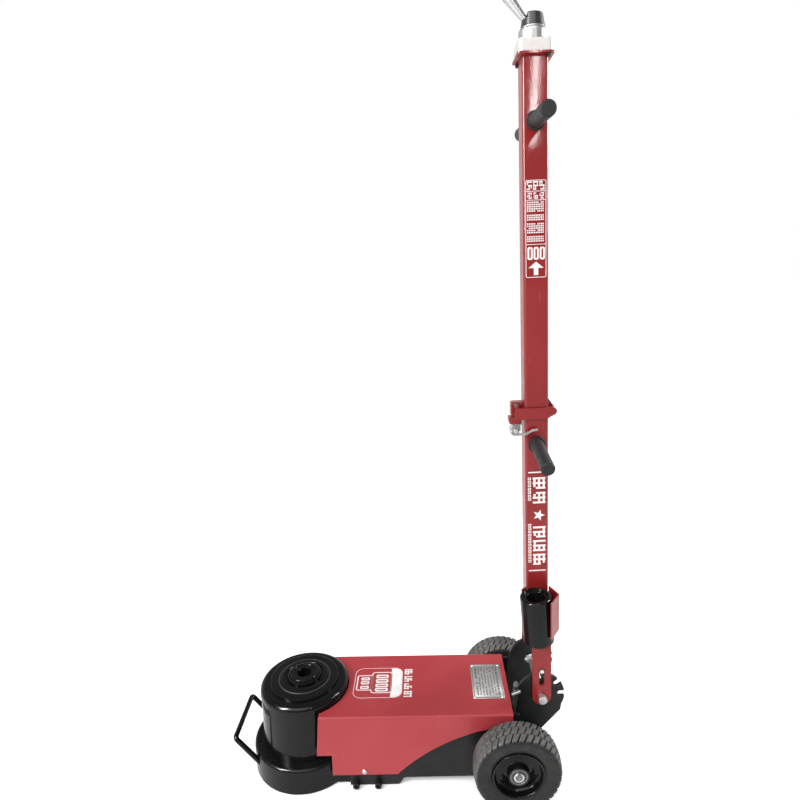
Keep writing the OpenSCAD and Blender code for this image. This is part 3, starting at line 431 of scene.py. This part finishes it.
def white_vinyl():
    """White printed film, slightly dulled in patches."""
    recipe = Recipe("white_vinyl")
    fade = recipe.remap(recipe.noise(60, 5), 0.35, 0.75)
    recipe.link("Base Color", recipe.mix(fade, (0.80, 0.78, 0.77), (0.70, 0.66, 0.65)))
    recipe.link("Roughness", recipe.remap(recipe.noise(90, 3), 0.3, 0.7, 0.38, 0.5))
    recipe.bump((recipe.noise(420, 2), 0.00007, 0.5))
    return recipe.material


def dark_ink():
    """Screen-printed ink, thin in places."""
    recipe = Recipe("dark_ink")
    fade = recipe.remap(recipe.noise(500, 5), 0.4, 0.75)
    recipe.link("Base Color", recipe.mix(fade, (0.05, 0.05, 0.05), (0.14, 0.13, 0.13)))
    recipe.set("Roughness", 0.5)
    recipe.bump((recipe.noise(900, 2), 0.0002, 0.3))
    return recipe.material


def black_plastic():
    """Moulded cap: smooth with a faint grain and handling marks."""
    recipe = Recipe("black_plastic")
    marks = recipe.remap(recipe.noise(50, 5), 0.4, 0.7)
    recipe.link("Base Color", recipe.mix(marks, (0.012, 0.011, 0.012), (0.035, 0.030, 0.031)))
    recipe.link("Roughness", recipe.remap(recipe.noise(45, 5), 0.3, 0.7, 0.24, 0.42))
    recipe.bump((recipe.noise(700, 3), 0.0002, 0.3))
    return recipe.material


def packing_cloth():
    """Brown woven packing."""
    recipe = Recipe("packing")
    recipe.link("Base Color", recipe.mix(recipe.noise(300, 4), (0.16, 0.09, 0.04), (0.32, 0.21, 0.11)))
    recipe.set("Roughness", 0.7)
    recipe.bump((recipe.cells(900), 0.0003, 0.5))
    return recipe.material


# ---------------------------------------------------------------- mesh helpers

def piece(name, mesh, material, body):
    """Adds a piece of its own to the scene, riding on a CAD body."""
    made = bpy.data.objects.new(name, mesh)
    bpy.context.scene.collection.objects.link(made)
    mesh.materials.append(material)
    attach(made, body)
    return made


def mesh_of(bm, name, smooth=True):
    bmesh.ops.recalc_face_normals(bm, faces=bm.faces)
    mesh = bpy.data.meshes.new(name)
    bm.to_mesh(mesh)
    bm.free()
    for face in mesh.polygons:
        face.use_smooth = smooth
    return mesh


class Print:
    """Thin printed shapes lying on a plane: u and v run along it, in metres."""

    def __init__(self, origin, u, v, thickness=0.00012):
        self.origin, self.u, self.v = origin, u, v
        self.out = u.cross(v).normalized()
        self.thickness = thickness
        self.bm = bmesh.new()

    def prism(self, outline):
        base = [self.origin + self.u * a + self.v * b for a, b in outline]
        low = [self.bm.verts.new(p) for p in base]
        high = [self.bm.verts.new(p + self.out * self.thickness) for p in base]
        self.bm.faces.new(high)
        self.bm.faces.new(low[::-1])
        for i in range(len(base)):
            j = (i + 1) % len(base)
            self.bm.faces.new((low[i], low[j], high[j], high[i]))

    def bar(self, u0, v0, u1, v1):
        self.prism([(u0, v0), (u1, v0), (u1, v1), (u0, v1)])

    def ring(self, outer, inner):
        """The strip between two outlines with the same number of points."""
        count = len(outer)
        rows = [[self.bm.verts.new(self.origin + self.u * a + self.v * b + self.out * h) for a, b in line]
                for line, h in ((outer, 0), (outer, self.thickness), (inner, self.thickness), (inner, 0))]
        for k in range(4):
            first, second = rows[k], rows[(k + 1) % 4]
            for i in range(count):
                j = (i + 1) % count
                self.bm.faces.new((first[i], first[j], second[j], second[i]))

    def frame(self, u0, v0, u1, v1, radius, width):
        self.ring(rounded(u0, v0, u1, v1, radius),
                  rounded(u0 + width, v0 + width, u1 - width, v1 - width, max(radius - width, 0.0003)))

    def finish(self, name, material, body, slot):
        return piece(name, mesh_of(self.bm, name, smooth=False), material, body)


def rounded(u0, v0, u1, v1, radius, steps=6):
    """A rectangle's outline with round corners, anticlockwise."""
    points = []
    for cu, cv, start in ((u1 - radius, v1 - radius, 0), (u0 + radius, v1 - radius, 90),
                          (u0 + radius, v0 + radius, 180), (u1 - radius, v0 + radius, 270)):
        for k in range(steps + 1):
            angle = math.radians(start + 90 * k / steps)
            points.append((cu + radius * math.cos(angle), cv + radius * math.sin(angle)))
    return points


# ---------------------------------------------------------------- carried-over CAD nodes

EDGE_ANGLE = math.radians(32)           # edges sharper than this get the small round


def finish_node(name, material, bevel):
    """Gives a CAD node its material and breaks its edges with a small round, in millimetres."""
    node = frame["nodes"][name]
    mesh = node.data
    mesh.materials.clear()
    mesh.materials.append(material)
    for face in mesh.polygons:
        face.use_smooth = True
    weld = node.modifiers.new("weld", "WELD")
    weld.merge_threshold = 0.000005
    if bevel:
        flat = node.modifiers.new("flat", "DECIMATE")
        flat.decimate_type = "DISSOLVE"
        flat.angle_limit = math.radians(0.3)
        rounding = node.modifiers.new("rounding", "BEVEL")
        rounding.width = bevel * MM
        rounding.segments = 2
        rounding.limit_method = "ANGLE"
        rounding.angle_limit = EDGE_ANGLE
        even = node.modifiers.new("even", "WEIGHTED_NORMAL")
        even.keep_sharp = False


# ---------------------------------------------------------------- tyres

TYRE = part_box("tyre_near")
TYRE_R = (TYRE[1].x - TYRE[0].x) / 2
TYRE_HALF = (TYRE[1].y - TYRE[0].y) / 2
CROWN_HALF = 0.024                      # half the width of the crown, and how far it falls at its edges
CROWN_DROP = 0.0024
SHOULDER = 0.012                        # how far the rounded shoulder comes in from the crown
BEAD_R = 0.0585
BEAD_INSET = 0.0062                     # the bead's distance inside the tyre's widest plane
RIB = 0.0006
RIM_SEAT_R = 0.0572
BAND_HALF = 0.0095                      # the middle band of blocks, between two round grooves
GROOVE_HALF = 0.0009
GROOVE_SLOPE = 0.0006
TREAD_HALF = 0.0305                     # where the tread ends, and where its grooves begin to fade
FADE_FROM = 0.0285
TREAD_DEPTH = 0.0075
TREAD_LOW_R = 0.085
PITCHES = 38                            # blocks round the tyre, and steps in each
STEPS = 18


def tyre_section():
    """Half of the tyre's cross-section as (radius, distance from the middle), from the crown to the bead."""
    crown = [(TYRE_R - CROWN_DROP * (w / CROWN_HALF) ** 2, w) for w in [0.0012 * i for i in range(21)]]
    shoulder, wall = [], []
    edge = crown[-1]
    for i in range(1, 9):
        angle = math.radians(90 * i / 8)
        shoulder.append((edge[0] - SHOULDER * (1 - math.cos(angle)),
                         edge[1] + (TYRE_HALF - edge[1]) * math.sin(angle)))
    low = shoulder[-1][0]
    for i in range(1, 15):
        t = i / 14
        rib = RIB if i in (8, 9, 12) else 0.0
        wall.append((low + (BEAD_R - low) * t, TYRE_HALF - BEAD_INSET * t ** 1.7 + rib - RIB))
    return crown + shoulder + wall


def groove_depth(turn, w):
    """How deep the tread is cut at that turn (0 to 1 round the tyre) and distance from the middle."""
    if abs(w) > TREAD_HALF:
        return 0.0
    line = abs(abs(w) - BAND_HALF)
    round_cut = max(0.0, 1 - max(0.0, line - GROOVE_HALF) / GROOVE_SLOPE)
    middle = abs(w) < BAND_HALF
    slant = (w / BAND_HALF) * 0.25 if middle else math.copysign(0.22 + (abs(w) - BAND_HALF) / 0.020 * 0.60, w)
    phase = (turn * PITCHES + (0.5 if middle else 0.0) + slant) % 1.0
    across = min(phase, 1 - phase)
    side_cut = max(0.0, 1 - max(0.0, across - 0.075) / 0.055)
    fade = 1.0 if abs(w) < FADE_FROM else max(0.0, 1 - (abs(w) - FADE_FROM) / (TREAD_HALF - FADE_FROM))
    return TREAD_DEPTH * max(round_cut, side_cut * 0.95) * fade


def make_tyre(side_name, side, material):
    """A tyre with a block tread, on the near (-1) or the far (1) side."""
    half = tyre_section()
    section = [(r, -w) for r, w in reversed(half)] + half[1:]
    inner = [(RIM_SEAT_R, half[-1][1] - 0.002), (RIM_SEAT_R, -half[-1][1] + 0.002)]
    count = PITCHES * STEPS
    middle = math.copysign((TYRE[0].y + TYRE[1].y) / 2, side)
    bm = bmesh.new()
    rings = []
    for i in range(count):
        angle = 2 * math.pi * i / count
        ring = []
        for r, w in section + inner:
            deep = groove_depth(i / count, w) if r > TREAD_LOW_R else 0.0
            ring.append(bm.verts.new((WHEEL_X + (r - deep) * math.cos(angle), middle + w,
                                      WHEEL_Z + (r - deep) * math.sin(angle))))
        rings.append(ring)
    for i in range(count):
        first, second = rings[i], rings[(i + 1) % count]
        for k in range(len(first)):
            m = (k + 1) % len(first)
            bm.faces.new((first[k], first[m], second[m], second[k]))
    name = f"treaded_tyre_{side_name}"
    tyre = piece(name, mesh_of(bm, name), material, f"wheel_{side_name}_side")
    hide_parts(f"tyre_{side_name}")


# ---------------------------------------------------------------- printed decals

def mark(sheet, u0, v0, u1, v1, rng):
    """A dense abstract block of strokes that fills a cell; the strokes meet and never overlap."""
    w, h = u1 - u0, v1 - v0
    stroke = 0.17                       # as a part of the cell
    for row in (0.0, 0.415, 0.83):
        start, stop = rng.choice(((0, 1), (0, 0.62), (0.25, 1), (0, 1)))
        sheet.bar(u0 + w * start, v0 + h * row, u0 + w * stop, v0 + h * (row + stroke))
    for column in (0.05, 0.41, 0.78):
        for low, high in rng.choice((((0.17, 0.415), (0.585, 0.83)), ((0.17, 0.415),), ((0.585, 0.83),))):
            sheet.bar(u0 + w * column, v0 + h * low, u0 + w * (column + stroke), v0 + h * high)


def hood_decal(material):
    """Rounded panel on the hood's top: an outline, two framed cells, a solid end and a row of blocks."""
    sheet = Print(Vector((0, 0, HOOD_TOP)), Vector((1, 0, 0)), Vector((0, 1, 0)))
    fine, bold = 0.0011, 0.0026
    sheet.frame(0.121, -0.048, 0.240, 0.058, 0.020, fine)
    sheet.frame(0.127, -0.022, 0.166, 0.032, 0.006, bold)
    sheet.frame(0.163, -0.032, 0.214, 0.043, 0.008, bold)
    # solid end with two round corners
    low, high = -0.046, 0.056
    end = [p for p in rounded(0.200, low, 0.2385, high, 0.018) if p[0] > 0.214]
    sheet.prism([(0.212, low)] + sorted([p for p in end if p[1] < 0], key=lambda p: p[0] + p[1])
                + sorted([p for p in end if p[1] >= 0], key=lambda p: -p[0] + p[1]) + [(0.212, high)])
    # rounded loops in the small and the large cell
    for v in (-0.0165, -0.0005, 0.0135):
        sheet.frame(0.137, v, 0.158, v + 0.0105, 0.003, 0.0036)
    for v in (-0.0265, -0.0115, 0.0045, 0.0205):
        sheet.frame(0.174, v, 0.205, v + 0.0125, 0.004, 0.0042)
    rng = random.Random(11)
    block, pitch = 0.0195, 0.0263
    for k in range(4):
        v = low + pitch * k
        mark(sheet, 0.2445, v, 0.2645, v + block, rng)
    sheet.finish("hood_decal", material, "chassis", "plate")


def handle_sheet():
    """A print on the handle's near face: u runs to its back and v up from its pivot."""
    return Print(PIVOT + Vector((0, TUBE_FACE, 0)), ACROSS, ALONG)


def upper_handle_decal(material, rng):
    """Panel with heading blocks, rows of fine blocks, and a large cell with an upward arrow."""
    sheet = handle_sheet()
    left, right, low, high, split = -0.0215, 0.0210, 0.9675, 1.159, 1.0335
    border, rule = 0.0013, 0.0012
    sheet.frame(left, low, right, high, 0.004, border)
    for level in (split, 1.1370, 1.1200):
        sheet.bar(left + border, level, right - border, level + rule)
    for k in range(3):
        mark(sheet, -0.0185 + 0.0127 * k, 1.1400, -0.0080 + 0.0127 * k, 1.1565, rng)
    for k in range(3):
        mark(sheet, -0.0175 + 0.0123 * k, 1.1230, -0.0083 + 0.0123 * k, 1.1350, rng)
    for k in range(19):
        v = 1.1150 - 0.0042 * k
        if k in (5, 9, 15):             # gaps between the paragraphs
            continue
        u = left + 0.0034
        while u < right - 0.0045:
            if rng.random() > 0.05:
                sheet.bar(u, v, u + 0.0024, v + 0.0028)
            u += 0.0035
    for u in (-0.0178, -0.0052, 0.0074):
        sheet.frame(u, 1.0035, u + 0.0108, 1.0290, 0.0037, 0.0037)
    sheet.prism([(-0.0160, 0.9868), (0.0155, 0.9868), (-0.0002, 0.9995)])
    sheet.bar(-0.0048, 0.9725, 0.0044, 0.9866)
    sheet.finish("handle_panel_decal", material, "handle_upper", "plate")


def lower_handle_decal(material, rng):
    """Five large blocks round a star, between two bars, with two columns of small loops."""
    sheet = handle_sheet()
    sheet.bar(-0.0195, 0.5390, 0.0190, 0.5420)
    sheet.bar(-0.0195, 0.2975, 0.0190, 0.3005)
    for v in (0.5010, 0.4660, 0.3820, 0.3480, 0.3135):
        mark(sheet, -0.0095, v, 0.0190, v + 0.0275, rng)
    star = []
    star_u, star_v = 0.0040, 0.437
    for k in range(10):
        reach = 0.0140 if k % 2 == 0 else 0.0058
        angle = math.radians(36 * k)
        star.append((star_u + reach * math.cos(angle), star_v + reach * math.sin(angle)))
    sheet.prism(star)
    for start, stop in ((0.4732, 0.524), (0.320, 0.4117)):
        v = start
        while v < stop:
            sheet.frame(-0.0205, v, -0.0135, v + 0.0062, 0.0012, 0.0017)
            v += 0.0082
    sheet.finish("handle_block_decal", material, "handle_lower", "plate")


def plate_print(material):
    """Border, rules and rows of dashes on the data plate."""
    low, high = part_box("data_plate")
    sheet = Print(Vector((0, 0, high.z)), Vector((1, 0, 0)), Vector((0, 1, 0)), 0.00006)
    inset, margin = 0.0022, 0.012
    sheet.frame(low.x + inset, low.y + inset, high.x - inset, high.y - inset, 0.003, 0.0009)
    rng = random.Random(7)
    columns = 8
    for k in range(columns):
        u = low.x + margin + (high.x - low.x - 2 * margin) * k / (columns - 1)
        wide = 0.0042 if k in (0, columns - 1) else 0.0024
        v = low.y + margin
        stop = high.y - margin
        while v < stop:
            length = rng.choice((0.0035, 0.005, 0.0075))
            if rng.random() > 0.12:
                sheet.bar(u - wide / 2, v, u + wide / 2, min(v + length, stop))
            v += length + 0.0024
    sheet.finish("data_plate_print", material, "chassis", "plate")


# ---------------------------------------------------------------- build

bpy.context.scene.view_settings.view_transform = "Standard"
make_camera()
make_lights()
make_floor()

HOOD_RED = red_paint("hood_red", (0.365, 0.044, 0.050), (0.33, 0.034, 0.040), 0.15)
# The handle's red is darker than the hood's: partly a paint of its own, partly painted shade for the shadowed
# tubes.
RED = red_paint("handle_red", (0.255, 0.014, 0.015), (0.215, 0.010, 0.011), 0.4)
ENAMEL = black_enamel()
CHASSIS = black_chassis()
CAST = cast_enamel()
STEEL = bare_metal("steel", (0.56, 0.56, 0.57), (0.30, 0.28, 0.26), 0.30, (1, 0.05, 1))
ZINC = bare_metal("zinc", (0.55, 0.55, 0.56), (0.34, 0.33, 0.31), 0.34)
ALUMINIUM = bare_metal("aluminium", (0.90, 0.89, 0.88), (0.72, 0.70, 0.68), 0.30, (0.08, 0.08, 1), 0.2, 0.2)
PLATE = bare_metal("plate_aluminium", (0.31, 0.30, 0.29), (0.23, 0.22, 0.21), 0.60,
                   (1, 0.04, 1), 0.2, metallic=0.3)
CHROME = bare_metal("chrome", (0.48, 0.465, 0.475), (0.34, 0.325, 0.33), 0.30, (1, 1, 1), 0.04, 0.2)
GALVANISED = bare_metal("galvanised", (0.16, 0.155, 0.15), (0.09, 0.085, 0.08), 0.50,
                        depth=0.5, metallic=0.6)
DULL_ZINC = bare_metal("dull_zinc", (0.26, 0.25, 0.24), (0.14, 0.13, 0.12), 0.40, (1, 1, 1), 0.5)
BRASS = bare_metal("brass", (0.68, 0.50, 0.22), (0.40, 0.27, 0.12), 0.32)
RUBBER = black_rubber()
TYRE_RUBBER = tyre_rubber()
BEARING = bearing_metal()
VALVE_METAL = valve_metal(VALVE_SEAM)
VINYL = white_vinyl()
INK = dark_ink()
PLASTIC = black_plastic()
PACKING = packing_cloth()

# look and edge round in millimetres, by the CAD's material slot or for single nodes
BY_SLOT = {"red_paint": (RED, 0.6), "black_paint": (ENAMEL, 0.8), "black_chassis": (CHASSIS, 0.6),
           "cast": (CAST, 1.2), "steel": (STEEL, 0.3), "zinc": (ZINC, 0.3), "aluminium": (ALUMINIUM, 0.8),
           "plate": (PLATE, 0), "chrome": (CHROME, 0.3), "rubber": (RUBBER, 0.6), "tyre": (TYRE_RUBBER, 0),
           "seal": (RUBBER, 0), "packing": (PACKING, 0), "brass": (BRASS, 0.2), "black_cap": (PLASTIC, 0.4)}
BY_NODE = {"hood": (HOOD_RED, 0.6), "hose_clamp": (GALVANISED, 0.3), "axle": (GALVANISED, 0.3),
           "latch_bracket": (DULL_ZINC, 0.3),
           "bearings_near": (BEARING, 0.2), "bearings_far": (BEARING, 0.2),
           "valve_block": (VALVE_METAL, 0.8), "head_nut": (ENAMEL, 1.5), "outer_ram": (ENAMEL, 1.5),
           "inner_ram": (ENAMEL, 1.5), "ram_saddle": (ENAMEL, 1.0)}
for part in frame["record"]["subparts"]:
    look, bevel = BY_NODE.get(part["node"]) or BY_SLOT[part["material_slot"]]
    finish_node(part["node"], look, bevel)

make_tyre("near", -1, TYRE_RUBBER)
make_tyre("far", 1, TYRE_RUBBER)
hood_decal(VINYL)
handle_random = random.Random(4)
upper_handle_decal(VINYL, handle_random)
lower_handle_decal(VINYL, handle_random)
plate_print(INK)
